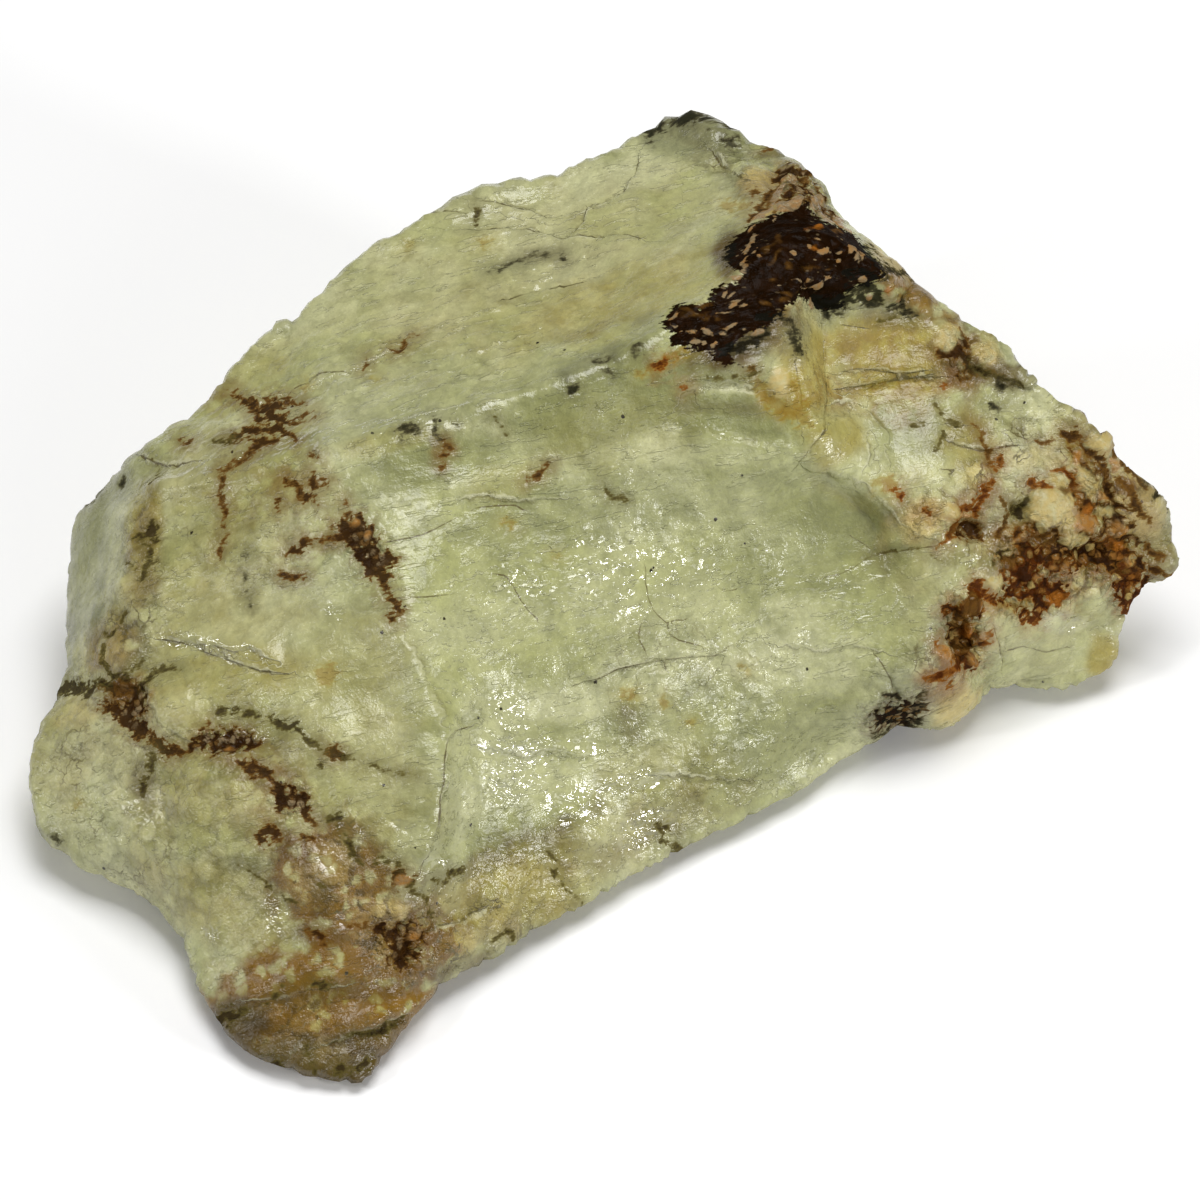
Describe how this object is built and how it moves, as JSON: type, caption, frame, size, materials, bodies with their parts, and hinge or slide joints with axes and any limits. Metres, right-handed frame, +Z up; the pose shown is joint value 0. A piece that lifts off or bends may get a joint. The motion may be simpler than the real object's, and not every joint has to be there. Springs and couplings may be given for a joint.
{
  "type": "raw lemon chrysoprase stone",
  "caption": "Rough broken lump of pale yellow-green chrysoprase with brown veins, a ledged front, a dark clastic crest and a flat underside.",
  "frame": {"origin": "centre of the stone's bounding box in plan, on the surface that it lies on", "axes": "+X along the longest extent, towards the nodular end; +Y from the low front face to the tall back; +Z up, along the shortest extent"},
  "size_m": [0.1434, 0.1236, 0.0541],
  "materials": {
    "chrysoprase": "waxy to glossy broken faces, duller and rougher where it is veined"
  },
  "bodies": {
    "root": {"stone": "chrysoprase"}
  },
  "joints": []
}
